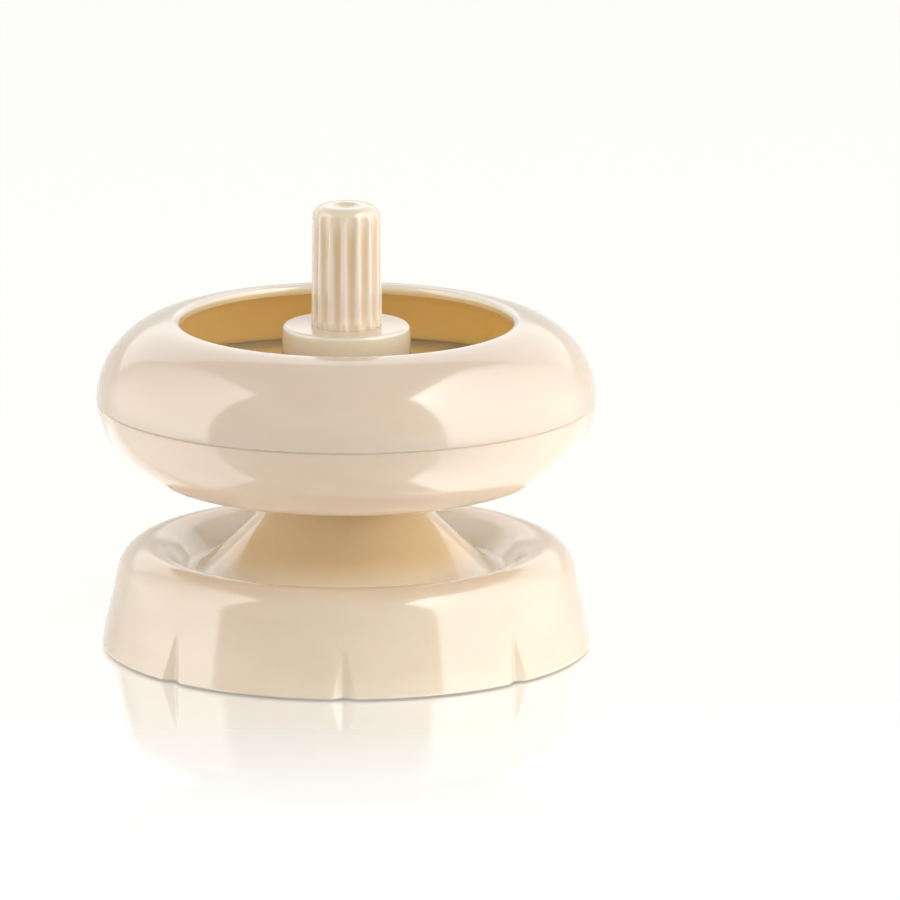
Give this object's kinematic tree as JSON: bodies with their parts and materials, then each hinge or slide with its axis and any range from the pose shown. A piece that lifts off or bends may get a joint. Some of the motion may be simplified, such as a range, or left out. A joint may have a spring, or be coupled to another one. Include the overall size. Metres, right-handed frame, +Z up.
{
  "type": "bead spinner",
  "caption": "Round open bowl that turns freely on a ball-bearing spindle above a wide base, spun by a fluted finger knob, for stringing seed beads.",
  "frame": {"origin": "on the spin axis, on the surface that the foot pads stand on", "axes": "+Z up along the spin axis, -Y towards the viewer of the picture, +X to the viewer's right"},
  "size_m": [0.11, 0.11, 0.0988],
  "materials": {
    "cream_abs": "gloss",
    "white_nylon": "satin",
    "rubber_pad": "matte",
    "turned_steel": "turned",
    "bearing_steel": "ground",
    "polished_steel": "polished",
    "zinc_steel": "zinc plated",
    "spring_steel": "black oxide"
  },
  "bodies": {
    "base": {"base_shell": "cream_abs", "base_plate": "cream_abs", "plate_screws": "zinc_steel", "foot_pads": "rubber_pad", "spindle": "turned_steel", "spindle_screw": "zinc_steel", "spindle_washer": "zinc_steel", "inner_spacer": "turned_steel", "retaining_ring": "spring_steel", "lower_inner_race": "bearing_steel", "upper_inner_race": "bearing_steel"},
    "bowl": {"bowl_lower": "cream_abs", "bowl_upper": "cream_abs", "knob": "cream_abs", "knob_screw": "zinc_steel", "knob_washer": "zinc_steel", "bearing_retainer": "white_nylon", "retainer_screws": "zinc_steel", "outer_spacer": "turned_steel", "lower_outer_race": "bearing_steel", "upper_outer_race": "bearing_steel", "lower_shields": "bearing_steel", "upper_shields": "bearing_steel"},
    "lower_ball_set": {"lower_balls": "polished_steel", "lower_cage": "white_nylon"},
    "upper_ball_set": {"upper_balls": "polished_steel", "upper_cage": "white_nylon"}
  },
  "joints": [
    {"name": "bowl_spin", "type": "hinge", "parent": "base", "child": "bowl", "pos_m": [0, 0, 0.0515], "axis": [0, 0, 1], "continuous": true},
    {"name": "lower_cage_spin", "type": "hinge", "parent": "base", "child": "lower_ball_set", "pos_m": [0, 0, 0.044], "axis": [0, 0, 1], "continuous": true},
    {"name": "upper_cage_spin", "type": "hinge", "parent": "base", "child": "upper_ball_set", "pos_m": [0, 0, 0.059], "axis": [0, 0, 1], "continuous": true}
  ],
  "couplings": [
    {"joint": "lower_cage_spin", "follows": "bowl_spin", "ratio": 0.6323},
    {"joint": "upper_cage_spin", "follows": "bowl_spin", "ratio": 0.6323}
  ]
}
